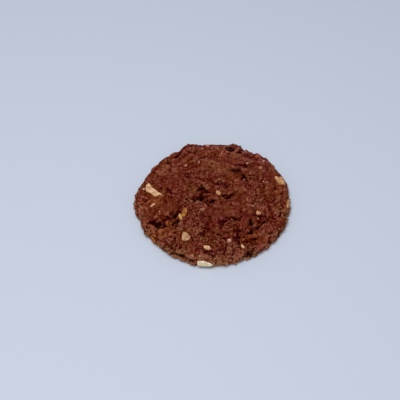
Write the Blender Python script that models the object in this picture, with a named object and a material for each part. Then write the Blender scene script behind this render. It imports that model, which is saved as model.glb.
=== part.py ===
"""A double chocolate cookie: one round, flat-bottomed slab of craggy cocoa dough with chopped nuts baked in.

Shapes and tables are in millimetres and turn to metres when a mesh is made; +Z up. The origin is the middle
of the foot, which is flat, so the cookie rests on it. +Y is the back of the cookie and -Y the front, where
the palest nut sits in the side.
"""

import math
import random

import bmesh
import bpy
import numpy as np
from mathutils import Matrix, Vector, noise

MM = 0.001

# Noise vectors start from a random place unless they are given a seed.
noise.seed_set(5)

# The smooth slab under the crags.
RIM_RADIUS = 44.7
CROWN_HEIGHT = 7.0
SHOULDER_HEIGHT = 6.1
SHOULDER_WIDTH = 3.5
BELLY_HEIGHT = 2.4
FOOT_INSET = 1.5
RELIEF_STARTS = 1.4

# Rings of the mesh, from the middle of the top to the foot.
TOP_RINGS = 27
SHOULDER_RINGS = 5
FOOT_RINGS = 2
RINGS = TOP_RINGS + SHOULDER_RINGS + FOOT_RINGS

# Bulges and dips of the rim: middle and half width in degrees, rise.
RIM_LOBES = (
    (12, 4, -0.5), (16, 13, 1.5), (38, 3, 0.5), (42, 10, 1.7), (50, 3, 1.2), (56, 3, -0.1), (63, 3, 0.5),
    (67, 2.5, 0.9), (71, 4, 1.9), (75, 3, 0.6), (104, 4, 0.7), (109, 5, 2.3), (119, 4, -0.7), (134, 5, 0.5),
    (145, 18, -1.3), (147, 5, 0.5), (160, 6, -0.7), (176, 5, 0.9), (185, 7, 1.1), (193, 3, 1.4),
    (197, 7, -1.4), (210, 9, 0.6), (222, 12, -0.5), (240, 6, -0.6), (295, 8, -0.6), (318, 5, -0.4),
    (330, 16, 0.7), (355, 5, 0.6),
)

# Crags: size of a wave or tear of the dough and how far it stands up. The side's crumbs are only on the side.
SWELL_SIZE, SWELL_RISE = 19.0, 0.5
CLUMP_SIZE, CLUMP_RISE = 7.5, 1.35
CRUMB_SIZE, CRUMB_RISE = 3.9, 0.8
SIDE_CRUMB_SIZE, SIDE_CRUMB_RISE = 4.2, 1.0
CLUMP_PLACE = np.array((3.7, 8.1, 2.4))
CRUMB_PLACE = np.array((11.3, 4.9, 7.7))
SIDE_CRUMB_PLACE = np.array((6.6, 3.1, 12.7))

# A tear's mean height, how rounded its bottom is where it is sharp, how much more so where it is soft, and
# the size of those patches in tears.
TEAR_MEAN = 0.47
TEAR_SHARP, TEAR_SOFT, TEAR_PATCH = 0.015, 0.22, 2.6

# Size and reach of the wander that makes the edges of pits and lumps ragged, and how steep pit walls are.
RAGGED_SIZE, RAGGED_REACH = 3.5, 2.4
PIT_STEEPNESS = 2.4

# The bed that a nut lies in: how sharp its edge is, how much wider it is than the nut, and its level.
BED_STEEPNESS, BED_MARGIN, BED_LEVEL = 4.0, 1.6, -0.15

# Pits, cracks and hollows: x, y, height (None on the top), length, width, turn in degrees, depth.
PITS = (
    (-6.4, 0.8, None, 6.2, 4.4, 0, 3.0),
    (-10.4, -0.8, None, 5.6, 1.8, -14, 1.6),
    (-5.8, 3.6, None, 2.2, 5.0, 8, 1.2),
    (-5.8, 7.4, None, 3.2, 4.6, -8, 2.3),
    (-1.6, -3.1, None, 5.6, 3.4, -20, 2.0),
    (8.8, 1.1, None, 9.0, 1.8, 6, 1.8),
    (13.0, 3.4, None, 5.0, 1.2, 20, 0.9),
    (8.2, 9.6, None, 4.0, 2.4, 20, 0.7),
    (-31.5, -18.8, None, 4.1, 4.2, 0, 3.2),
    (-34.6, -17.4, None, 4.2, 1.8, 8, 1.6),
    (-27.4, -19.6, None, 2.3, 3.0, 0, 2.5),
    (-22.0, -11.8, None, 5.4, 4.2, 42, 2.8),
    (-25.8, -15.2, None, 6.4, 3.0, 40, 1.6),
    (-20.8, -18.2, None, 2.6, 5.6, 8, 2.0),
    (14.2, 21.4, None, 7.0, 3.8, -20, 2.1),
    (18.4, 16.6, None, 5.0, 3.0, -50, 1.6),
    (17.2, 25.6, None, 4.4, 2.6, 0, 1.2),
    (21.6, -18.4, None, 3.0, 3.4, 0, 2.3),
    (22.6, -23.2, None, 8.0, 1.7, 36, 1.1),
    (28.0, -18.7, None, 7.0, 1.5, 44, 1.0),
    (14.5, -14.5, None, 4.4, 3.6, -25, 2.0),
    (5.0, -17.0, None, 4.4, 4.4, 10, 1.0),
    (13.9, -24.2, None, 2.6, 8.0, -8, 1.1),
    (29.6, -12.8, None, 12.0, 1.5, -4, 1.1),
    (40.0, -11.0, None, 8.0, 1.8, 8, 1.3),
    (3.6, 11.0, None, 6.0, 2.0, 10, 0.9),
    (8.8, 8.0, None, 2.4, 2.0, 0, 0.9),
    (-1.6, -37.6, None, 5.0, 3.0, 0, 1.0),
    (13.5, -30.8, None, 4.0, 3.0, 30, 0.9),
    (-43.4, -7.6, 4.2, 1.8, 12.0, 4, 1.3),
    (-24.6, 5.2, None, 2.6, 3.0, 0, 1.1),
    (-38.6, -0.9, None, 2.6, 2.0, 0, 0.9),
    (-5.9, 32.6, None, 4.0, 2.4, 15, 0.9),
    (3.0, 31.7, None, 5.6, 1.6, -8, 0.9),
    (19.4, 26.0, None, 3.0, 2.6, 0, 1.1),
    (-15.0, 16.7, None, 3.4, 2.8, 0, 0.7),
    (38.4, 8.6, None, 3.6, 3.6, 60, 1.2),
    (-3.9, -13.6, None, 3.4, 2.6, 0, 0.9),
    (-3.6, -20.4, None, 4.0, 4.6, 0, 0.9),
    (-5.6, -24.6, None, 5.4, 2.2, 20, 1.1),
    (-19.9, 34.8, None, 5.5, 2.0, 40, 1.4),
    (-26.5, 29.5, None, 6.0, 1.8, 55, 1.2),
    (11.5, 39.6, None, 4.8, 3.6, -12, 2.4),
    (24.5, 38.0, None, 4.0, 1.8, 60, 1.2),
    (-0.4, -40.0, None, 3.2, 3.0, 0, 1.5),
    (-19.4, -39.6, 4.4, 9.0, 3.2, -26, 2.2),
    (-12.6, -42.6, 3.4, 5.0, 2.6, -16, 1.6),
    (21.0, -38.9, 4.0, 6.5, 3.4, 28, 2.2),
    (10.2, -43.0, 4.2, 3.4, 2.2, 8, 1.5),
    (26.0, -36.3, 2.4, 4.0, 3.0, 35, 1.9),
    (28.9, -34.0, 3.6, 2.4, 4.4, 40, 1.4),
    (33.1, -29.8, 3.8, 3.0, 4.0, 40, 1.9),
    (38.0, -23.6, 2.6, 4.4, 4.0, 60, 2.1),
    (40.8, -18.4, 3.5, 3.0, 4.4, 60, 1.9),
    (43.2, -12.6, 2.4, 3.0, 3.4, 75, 1.3),
    (-32.2, -28.4, 5.0, 5.5, 2.8, -45, 1.9),
    (-39.6, -21.4, 2.4, 5.6, 2.4, -58, 2.1),
    (-36.4, -25.4, 1.8, 4.0, 3.0, -55, 1.6),
    (-27.6, -33.8, 2.2, 5.0, 2.8, -40, 1.5),
    (-8.0, -44.0, 1.8, 4.0, 2.6, -10, 1.3),
    (38.2, 24.8, 3.0, 6.5, 2.6, -57, 1.8),
    (29.8, 35.4, 2.4, 4.0, 2.8, -40, 1.6),
    (20.4, 40.0, 3.2, 5.0, 2.4, -27, 1.5),
    (4.7, 44.4, 2.6, 7.5, 2.6, -6, 1.9),
    (-6.5, 44.3, 3.2, 3.0, 2.6, 7, 1.3),
    (-16.9, 42.4, 2.4, 4.6, 2.8, 22, 1.8),
    (-25.0, 37.1, 3.0, 6.0, 2.4, 34, 1.6),
    (-31.9, 29.7, 2.2, 4.0, 3.0, 47, 1.7),
    (-37.8, 21.8, 3.0, 8.0, 2.6, 60, 1.9),
    (-42.0, 12.8, 2.4, 3.6, 3.0, 73, 1.4),
    (-45.0, 1.8, 3.0, 5.0, 2.6, 88, 1.6),
    (45.0, 4.6, 2.6, 5.0, 2.6, -84, 1.5),
)

# Lumps that stand up: x, y, length, width, turn, rise, width and depth of the groove round them.
LUMPS = (
    (-8.4, -5.4, 9.5, 6.2, -28, 1.0, 1.0, 0.3),
    (9.4, -36.7, 6.0, 6.4, 0, 0.9, 1.3, 0.7),
    (13.7, 6.8, 5.0, 3.8, 10, 0.5, 1.0, 0.2),
    (-24.6, -31.0, 5.4, 5.4, 0, 0.7, 1.4, 0.9),
    (22.3, -5.1, 5.4, 4.6, 0, 0.7, 1.0, 0.5),
    (-41.4, -7.6, 2.4, 13.0, 4, 0.7, 0.8, 0.2),
    (17.4, -9.6, 3.8, 3.2, 0, 0.5, 1.0, 0.3),
    (-17.7, -36.4, 7.6, 5.0, -30, 0.7, 1.2, 0.3),
    (3.2, -8.6, 7.0, 5.0, 30, 0.4, 1.2, 0.1),
    (-8.8, -3.0, 8.0, 2.4, -22, 0.6, 0.8, 0.2),
    (27.6, -24.4, 6.4, 4.6, 30, 0.6, 1.0, 0.3),
    (-25.0, -19.3, 3.4, 2.8, 0, 1.0, 1.0, 0.2),
    (-31.0, -12.8, 6.5, 4.6, 0, 0.5, 1.0, 0.2),
    (16.6, 38.8, 3.8, 5.6, 0, 1.3, 1.0, 0.5),
    (21.4, 36.4, 5.6, 5.6, 0, 0.7, 1.0, 0.3),
    (27.4, 33.0, 6.0, 5.0, -30, 0.6, 1.0, 0.2),
    (5.6, 39.4, 9.0, 6.0, 0, 0.6, 1.0, 0.2),
    (-12.0, 38.4, 6.0, 5.0, 0, 0.6, 1.2, 0.2),
    (24.5, 11.0, 7.0, 5.6, 0, 0.4, 1.2, 0.1),
    (-20.5, 22.0, 8.0, 7.0, 0, 0.4, 1.4, 0.1),
)

# Nuts with a shape of their own: kind, x, y, height (None on the top), rise, thickness, turn and lean in
# degrees, and corners round the middle.
SLICED_NUTS = (
    ("cream", -35.5, 6.2, None, 0.8, 3.4, 0, 4,
     ((-3.3, 3.7), (-2.1, 5.0), (-1.1, 4.4), (0.2, 1.7), (2.5, -0.5), (4.8, -2.7), (6.9, -4.8), (4.6, -4.0),
      (3.5, -4.8), (2.1, -5.0), (0.8, -4.0), (-0.9, -2.1), (-3.1, -0.9), (-3.5, 1.2))),
    ("biscuit", -15.2, -28.1, None, 0.7, 3.4, 0, 0,
     ((-1.3, 3.4), (0.9, 2.3), (2.8, -0.1), (1.8, -2.0), (-0.4, -2.8), (-2.0, -2.1), (-2.1, 0.5))),
    ("cream", -3.1, -35.5, None, 0.7, 2.8, 0, 6,
     ((-2.1, 1.3), (1.0, 1.1), (2.1, -0.8), (0.5, -1.4), (-1.8, -0.3))),
    ("amber", -16.0, -11.0, None, 0.9, 3.0, 0, 0,
     ((-0.3, 3.1), (0.8, 3.1), (1.5, 2.0), (1.5, 0.1), (1.0, -1.6), (0.0, -2.9), (-0.9, -3.1), (-1.4, -2.2),
      (-1.5, -0.3), (-1.0, 1.8))),
    ("straw", -18.3, -14.1, None, 0.7, 2.4, 0, 0,
     ((-0.9, 2.1), (0.3, 1.6), (0.9, -0.4), (1.1, -1.9), (0.3, -2.3), (-0.7, -0.9), (-1.2, 0.7))),
    ("ivory", -4.6, -44.3, 3.6, 0.5, 3.4, 0, 60,
     ((-3.9, 1.6), (-0.2, 1.5), (3.0, 0.4), (4.3, -0.9), (3.0, -1.6), (-0.6, -1.4), (-3.9, -0.9))),
    ("tan", 40.2, 13.8, None, 0.9, 3.6, 0, 16,
     ((-3.4, 1.9), (-2.0, 2.3), (-0.9, 1.2), (0.0, 2.4), (1.3, 2.2), (2.2, 0.1), (2.5, -3.2), (0.1, -3.8),
      (-1.0, -3.0), (-1.8, -1.5), (-2.7, 0.2))),
    ("peach", 26.3, -11.3, None, 0.8, 2.8, 0, 0,
     ((-1.4, -0.8), (-1.2, 0.5), (-0.7, 1.6), (0.2, 0.8), (1.5, 0.6), (1.5, -0.4), (0.4, -1.2))),
    ("peach", 3.4, 3.1, None, 1.0, 2.8, 0, 0,
     ((-1.3, 0.2), (-0.7, 1.6), (0.7, 1.4), (1.5, -0.2), (1.0, -1.5), (-0.4, -1.3))),
    ("rose", 9.1, -30.9, None, 0.7, 2.4, 0, 0,
     ((-0.9, 0.9), (0.6, 1.4), (1.3, 0.8), (1.0, -0.5), (-0.3, -1.2), (-1.2, -1.0))),
    ("cream", 16.6, -34.6, None, 0.9, 2.4, 0, 4,
     ((-0.9, 1.1), (0.0, 0.9), (0.8, -0.2), (0.9, -1.0), (-0.3, -1.2), (-0.8, 0.0))),
    ("toasted", -6.1, -9.0, None, 0.6, 2.4, 0, 0,
     ((-1.8, 0.1), (-0.6, 0.9), (1.2, 1.3), (1.9, 0.5), (1.2, -0.9), (-1.1, -1.0))),
)

# Smaller chopped nuts: kind, x, y, height (None on the top), rise, length, width, thickness, turn and lean.
SMALL_NUTS = (
    ("peach", -34.6, -4.8, None, 0.4, 4.2, 1.7, 1.8, 42, 4),
    ("rose", -40.4, 7.4, None, 0.5, 2.2, 1.6, 1.4, 10, 10),
    ("tan", 43.7, -3.2, 4.8, 1.2, 7.2, 3.2, 3.0, 88, 42),
    ("toasted", 29.3, 23.6, None, 0.8, 3.8, 3.0, 2.6, 15, 0),
    ("toasted", -16.1, 25.6, None, 0.6, 3.6, 2.9, 2.2, 70, 0),
    ("rose", -2.2, 42.2, None, 0.8, 3.2, 2.4, 2.4, 0, 22),
)
NUT_DETAIL = 2
NUT_CUTS = 9
NUT_CUT_REACH = (0.55, 0.85)

DOUGH_COLOUR = (0.127, 0.028, 0.013, 1.0)
NUT_COLOURS = {
    "cream": (0.76, 0.45, 0.23, 1.0),
    "ivory": (0.72, 0.56, 0.36, 1.0),
    "peach": (0.64, 0.29, 0.14, 1.0),
    "rose": (0.67, 0.33, 0.25, 1.0),
    "straw": (0.56, 0.25, 0.08, 1.0),
    "tan": (0.63, 0.31, 0.13, 1.0),
    "biscuit": (0.59, 0.32, 0.16, 1.0),
    "toasted": (0.40, 0.14, 0.06, 1.0),
    "amber": (0.46, 0.15, 0.02, 1.0),
}


def principled(name, colour, roughness):
    """A plain food material."""
    material = bpy.data.materials.new(name)
    material.use_nodes = True
    shader = material.node_tree.nodes["Principled BSDF"]
    shader.inputs["Base Color"].default_value = colour
    shader.inputs["Roughness"].default_value = roughness
    shader.inputs["Metallic"].default_value = 0.0
    return material


def rim_radius(angle):
    """Radius of the rim at an angle in radians: a circle with the bulges and dips of hand-pressed dough."""
    radius = np.full(np.shape(angle), RIM_RADIUS)
    for middle, half_width, rise in RIM_LOBES:
        apart = (np.degrees(angle) - middle + 180) % 360 - 180
        radius = radius + rise * np.exp(-((apart / half_width) ** 2))
    return radius


def ring_and_angle(x, y):
    """Ring and angle of the points of a square grid, whose squares become the slab's rings."""
    with np.errstate(divide="ignore", invalid="ignore"):
        sideways = np.pi / 4 * y / x + np.pi * (x < 0)
        upright = np.pi / 2 - np.pi / 4 * x / y + np.pi * (y < 0)
    return np.maximum(abs(x), abs(y)), np.nan_to_num(np.where(abs(x) >= abs(y), sideways, upright))


def smooth_slab(ring, angle):
    """Places and outward directions on the smooth slab: over the top and the shoulder, down to the foot."""
    share = np.clip(ring / TOP_RINGS, 0, 1)
    turn = np.pi / 2 * (1 - np.clip((ring - TOP_RINGS) / SHOULDER_RINGS, 0, 1))
    down = np.clip((ring - TOP_RINGS - SHOULDER_RINGS) / FOOT_RINGS, 0, 1)
    radius = (rim_radius(angle) - SHOULDER_WIDTH) * share + SHOULDER_WIDTH * np.cos(turn)
    radius = radius - FOOT_INSET * down**2
    height = (SHOULDER_HEIGHT - BELLY_HEIGHT) * np.sin(turn) + BELLY_HEIGHT * (1 - down)
    height = height + (CROWN_HEIGHT - SHOULDER_HEIGHT) * (1 - share**2)
    places = np.stack([radius * np.cos(angle), radius * np.sin(angle), height], -1)
    outward = np.stack([np.cos(angle) * np.cos(turn), np.sin(angle) * np.cos(turn), np.sin(turn)], -1)
    return places, outward


def slab_height(x, y):
    """Height of the smooth slab over a place."""
    shoulder = float(rim_radius(math.atan2(y, x))) - SHOULDER_WIDTH
    share = math.hypot(x, y) / shoulder
    if share < 1:
        return SHOULDER_HEIGHT + (CROWN_HEIGHT - SHOULDER_HEIGHT) * (1 - share**2)
    over = min(1, (math.hypot(x, y) - shoulder) / SHOULDER_WIDTH)
    return BELLY_HEIGHT + (SHOULDER_HEIGHT - BELLY_HEIGHT) * math.sqrt(1 - over**2)


def noise_at(places, size):
    return np.array([noise.noise(Vector(place)) for place in (places / size).tolist()])


def ragged(places):
    """The same places, shifted about a little, which makes the edge of what is drawn there ragged."""
    wander = [noise.noise_vector(Vector(place)) for place in (places / RAGGED_SIZE).tolist()]
    return places + np.array(wander) * RAGGED_REACH


def away_from(places, x, y, height, length, width, turn):
    """Distance from the middle of an oval, as a share of the way to its edge."""
    cosine, sine = math.cos(math.radians(turn)), math.sin(math.radians(turn))
    away_x, away_y = places[:, 0] - x, places[:, 1] - y
    along = (away_x * cosine + away_y * sine) / (length / 2)
    across = (away_y * cosine - away_x * sine) / (width / 2)
    drop = 0 if height is None else (places[:, 2] - height) / (min(length, width) / 2)
    return np.sqrt(along**2 + across**2 + drop**2)


def tears(places, size, offset):
    """Dough that tore as it spread: rounded backs with creases between, sharp here and soft there."""
    soft = np.clip(0.4 + 1.5 * noise_at(places - offset, size * TEAR_PATCH), 0, 1)
    field = np.hypot(noise_at(places + offset * size, size), TEAR_SHARP + TEAR_SOFT * soft)
    return np.sqrt(field) - TEAR_MEAN


def pit_depth(places):
    """How deep the pits and cracks cut."""
    depth = np.zeros(len(places))
    for x, y, height, length, width, turn, full in PITS:
        away = away_from(places, x, y, height, length, width, turn)
        depth = np.maximum(depth, full * np.exp(-(away**PIT_STEEPNESS)))
    return depth


def lump_rise(places):
    """How far the lumps stand up, less the groove round each."""
    rise = np.zeros(len(places))
    for x, y, length, width, turn, full, groove_width, groove in LUMPS:
        away = away_from(places, x, y, None, length, width, turn)
        edge = (away - 1) * (length + width) / 2 / groove_width
        rise += full * np.maximum(0, 1 - away**4) - groove * np.exp(-(edge**2))
    return rise


def nut_beds(places):
    """1 where a nut lies and 0 away from nuts."""
    bed = np.zeros(len(places))
    for _, x, y, height, _, _, turn, _, corners in SLICED_NUTS:
        length, width = np.ptp(np.array(corners), axis=0) + BED_MARGIN
        away = away_from(places, x, y, height, length, width, turn)
        bed = np.maximum(bed, np.exp(-(away**BED_STEEPNESS)))
    for _, x, y, height, _, length, width, _, turn, _ in SMALL_NUTS:
        away = away_from(places, x, y, height, length + BED_MARGIN, width + BED_MARGIN, turn)
        bed = np.maximum(bed, np.exp(-(away**BED_STEEPNESS)))
    return bed


def relief(places, outward):
    """How far the craggy surface stands off the smooth slab. It fades out to the foot, which stays flat."""
    side = 1 - outward[:, 2]
    crags = SWELL_RISE * noise_at(places, SWELL_SIZE)
    crags += CLUMP_RISE * tears(places, CLUMP_SIZE, CLUMP_PLACE)
    crags += CRUMB_RISE * tears(places, CRUMB_SIZE, CRUMB_PLACE)
    crags += side * SIDE_CRUMB_RISE * tears(places, SIDE_CRUMB_SIZE, SIDE_CRUMB_PLACE)
    shifted = ragged(places)
    crags += lump_rise(shifted) - pit_depth(shifted)
    bed = nut_beds(places)
    return (crags * (1 - bed) + BED_LEVEL * bed) * np.minimum(1, places[:, 2] / RELIEF_STARTS)


def make_slab(material):
    """A square grid bent into rings over the top and the side, pushed out into crags, closed by the foot."""
    shape = bmesh.new()
    bmesh.ops.create_grid(shape, x_segments=2 * RINGS, y_segments=2 * RINGS, size=RINGS)
    grid = np.array([vertex.co for vertex in shape.verts])
    places, outward = smooth_slab(*ring_and_angle(grid[:, 0], grid[:, 1]))
    places = places + outward * relief(places, outward)[:, None]
    for vertex, place in zip(shape.verts, places):
        vertex.co = Vector(place) * MM
    foot = [edge for edge in shape.edges if edge.is_boundary]
    bmesh.ops.contextual_create(shape, geom=foot)
    bmesh.ops.triangulate(shape, faces=shape.faces[:])
    bmesh.ops.recalc_face_normals(shape, faces=shape.faces[:])
    mesh = bpy.data.meshes.new("cookie")
    shape.to_mesh(mesh)
    shape.free()
    mesh.materials.append(material)
    return bpy.data.objects.new("cookie", mesh)


def lay(nut, x, y, height, rise, thickness, turn, lean):
    """Turns a nut, leans it outward and sinks it into the dough until only its rise stands out."""
    around = math.atan2(y, x)
    tilt = Matrix.Rotation(math.radians(lean), 4, Vector((-math.sin(around), math.cos(around), 0)))
    outward = tilt @ Vector((0, 0, 1))
    bed = Vector((x, y, slab_height(x, y) + BED_LEVEL if height is None else height))
    place = (bed - outward * (thickness / 2 - rise)) * MM
    nut.matrix_world = Matrix.Translation(place) @ tilt @ Matrix.Rotation(math.radians(turn), 4, "Z")


def sliced_nut(row, nuts, material):
    """A nut with corners of its own: its outline cut straight down."""
    _, x, y, height, rise, thickness, turn, lean, corners = row
    outline = bpy.data.curves.new("outline", "CURVE")
    outline.dimensions = "2D"
    outline.fill_mode = "BOTH"
    outline.extrude = thickness / 2 * MM
    spline = outline.splines.new("POLY")
    spline.points.add(len(corners) - 1)
    for point, (u, v) in zip(spline.points, corners):
        point.co = (u * MM, v * MM, 0, 1)
    spline.use_cyclic_u = True
    drawn = bpy.data.objects.new("outline", outline)
    nuts.objects.link(drawn)
    lay(drawn, x, y, height, rise, thickness, turn, lean)
    bpy.context.view_layer.update()
    mesh = bpy.data.meshes.new_from_object(drawn.evaluated_get(bpy.context.evaluated_depsgraph_get()))
    shape = bmesh.new()
    shape.from_mesh(mesh)
    bmesh.ops.remove_doubles(shape, verts=shape.verts[:], dist=0.01 * MM)
    bmesh.ops.recalc_face_normals(shape, faces=shape.faces[:])
    shape.to_mesh(mesh)
    shape.free()
    mesh.materials.clear()
    mesh.materials.append(material)
    nut = bpy.data.objects.new("nut", mesh)
    nut.matrix_world = drawn.matrix_world
    nuts.objects.link(nut)
    bpy.data.objects.remove(drawn)


def small_nut(number, row, nuts, material):
    """A small nut: a ball with flat faces where the knife went, drawn out to its size."""
    _, x, y, height, rise, length, width, thickness, turn, lean = row
    chance = random.Random(number)
    shape = bmesh.new()
    bmesh.ops.create_icosphere(shape, subdivisions=NUT_DETAIL, radius=1)
    for _ in range(NUT_CUTS):
        cut = Vector([chance.uniform(-1, 1) for _ in range(3)]).normalized()
        reach = chance.uniform(*NUT_CUT_REACH)
        for vertex in shape.verts:
            vertex.co -= cut * max(0.0, vertex.co.dot(cut) - reach)
    for axis, size in enumerate((length, width, thickness)):
        span = [vertex.co[axis] for vertex in shape.verts]
        middle = (min(span) + max(span)) / 2
        for vertex in shape.verts:
            vertex.co[axis] = (vertex.co[axis] - middle) / (max(span) - min(span)) * size * MM
    mesh = bpy.data.meshes.new("nut")
    shape.to_mesh(mesh)
    shape.free()
    mesh.materials.append(material)
    nut = bpy.data.objects.new("nut", mesh)
    lay(nut, x, y, height, rise, thickness, turn, lean)
    nuts.objects.link(nut)


def bake_in(slab, nuts):
    """Joins the nuts to the slab as one solid, and removes the loose ones."""
    union = slab.modifiers.new("nuts", "BOOLEAN")
    union.operation = "UNION"
    union.operand_type = "COLLECTION"
    union.collection = nuts
    union.solver = "EXACT"
    union.material_mode = "TRANSFER"
    bpy.context.view_layer.objects.active = slab
    bpy.ops.object.modifier_apply(modifier=union.name)
    for nut in list(nuts.objects):
        bpy.data.objects.remove(nut)
    bpy.data.collections.remove(nuts)


def main():
    for old in list(bpy.data.objects):
        bpy.data.objects.remove(old)
    cookie = bpy.data.collections.new("double_chocolate_cookie")
    nuts = bpy.data.collections.new("nuts")
    bpy.context.scene.collection.children.link(cookie)
    bpy.context.scene.collection.children.link(nuts)
    slab = make_slab(principled("baked_cocoa_dough", DOUGH_COLOUR, 0.75))
    cookie.objects.link(slab)
    looks = {kind: principled(kind + "_nut", colour, 0.5) for kind, colour in NUT_COLOURS.items()}
    for row in SLICED_NUTS:
        sliced_nut(row, nuts, looks[row[0]])
    for number, row in enumerate(SMALL_NUTS):
        small_nut(number, row, nuts, looks[row[0]])
    bake_in(slab, nuts)


main()
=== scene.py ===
"""Looks of a double chocolate cookie: cocoa dough dropped on a flat tray, baked until its top crazed,
with chopped nuts in it. Metres, +Z up, in the frame of the solid part. Tables and shapes are in millimetres
and turn to metres when a mesh is made. +Y is the back of the cookie and -Y the front."""

import math
import random

import bmesh
import bpy
import numpy as np
from mathutils import Matrix, Vector, noise


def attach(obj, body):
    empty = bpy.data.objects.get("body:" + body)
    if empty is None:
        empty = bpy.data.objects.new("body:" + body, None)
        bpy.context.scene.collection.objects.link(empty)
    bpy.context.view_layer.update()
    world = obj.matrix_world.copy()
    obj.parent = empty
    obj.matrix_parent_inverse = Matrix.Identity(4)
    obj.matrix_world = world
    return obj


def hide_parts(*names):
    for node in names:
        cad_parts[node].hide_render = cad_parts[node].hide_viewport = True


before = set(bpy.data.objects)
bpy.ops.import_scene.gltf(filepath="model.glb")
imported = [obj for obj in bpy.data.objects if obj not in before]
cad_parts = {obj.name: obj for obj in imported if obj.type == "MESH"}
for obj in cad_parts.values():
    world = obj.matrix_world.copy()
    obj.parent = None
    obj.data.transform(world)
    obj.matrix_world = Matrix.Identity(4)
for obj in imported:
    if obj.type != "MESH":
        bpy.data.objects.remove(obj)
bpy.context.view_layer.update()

MM = 0.001

# Noise vectors start from a random place unless they are given a seed.
noise.seed_set(5)

# The smooth slab under the crags, as in the solid part. Below the last height the crags fade out, so that the
# foot stays flat.
RIM_RADIUS = 44.7
CROWN_HEIGHT = 7.0
SHOULDER_HEIGHT = 6.1
SHOULDER_WIDTH = 3.5
BELLY_HEIGHT = 2.4
FOOT_INSET = 1.5
RELIEF_STARTS = 1.4

# Rings of the mesh, a third of a millimetre apart, from the middle of the top to the foot.
TOP_RINGS = 124
SHOULDER_RINGS = 18
FOOT_RINGS = 9
RINGS = TOP_RINGS + SHOULDER_RINGS + FOOT_RINGS

# Bulges and dips of the rim: middle and half width in degrees, rise in millimetres.
RIM_LOBES = (
    (12, 4, -0.5), (16, 13, 1.5), (38, 3, 0.5), (42, 10, 1.7), (50, 3, 1.2), (56, 3, -0.1), (63, 3, 0.5),
    (67, 2.5, 0.9), (71, 4, 1.9), (75, 3, 0.6), (104, 4, 0.7), (109, 5, 2.3), (119, 4, -0.7), (134, 5, 0.5),
    (145, 18, -1.3), (147, 5, 0.5), (160, 6, -0.7), (176, 5, 0.9), (185, 7, 1.1), (193, 3, 1.4),
    (197, 7, -1.4), (210, 9, 0.6), (222, 12, -0.5), (240, 6, -0.6), (295, 8, -0.6), (318, 5, -0.4),
    (330, 16, 0.7), (355, 5, 0.6),
)

# Crags that the solid has too: size of a wave or tear of the dough, how far it stands up, and where in the
# noise it starts. The side's crumbs are only on the side.
SWELL_SIZE, SWELL_RISE = 19.0, 0.5
CLUMP_SIZE, CLUMP_RISE = 7.5, 1.35
CRUMB_SIZE, CRUMB_RISE = 3.9, 0.8
SIDE_CRUMB_SIZE, SIDE_CRUMB_RISE = 4.2, 1.0
CLUMP_PLACE = np.array((3.7, 8.1, 2.4))
CRUMB_PLACE = np.array((11.3, 4.9, 7.7))
SIDE_CRUMB_PLACE = np.array((6.6, 3.1, 12.7))

# A tear's mean height, how rounded its bottom is where it is sharp, how much more so where it is soft, and
# the size of those patches in tears. The last two are how soft tears are in the mean, and how
# much that differs.
TEAR_MEAN = 0.47
TEAR_SHARP, TEAR_SOFT, TEAR_PATCH = 0.015, 0.22, 2.6
SOFT_MEAN, SOFT_DIFFERS = 0.4, 1.5

# Sizes and reaches of the wanders that make the edges of pits, lumps and stains ragged, how steep the walls
# of pits and holes are, and how flat the tops of lumps.
RAGGED = ((3.5, 2.4), (1.3, 1.3))
PIT_STEEPNESS = 2.4
LUMP_FLATNESS = 4

# The bed that a nut lies in: how sharp its edge is, how much wider it is than the nut, and its level.
BED_STEEPNESS, BED_MARGIN, BED_LEVEL = 4.0, 1.6, -0.15

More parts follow.
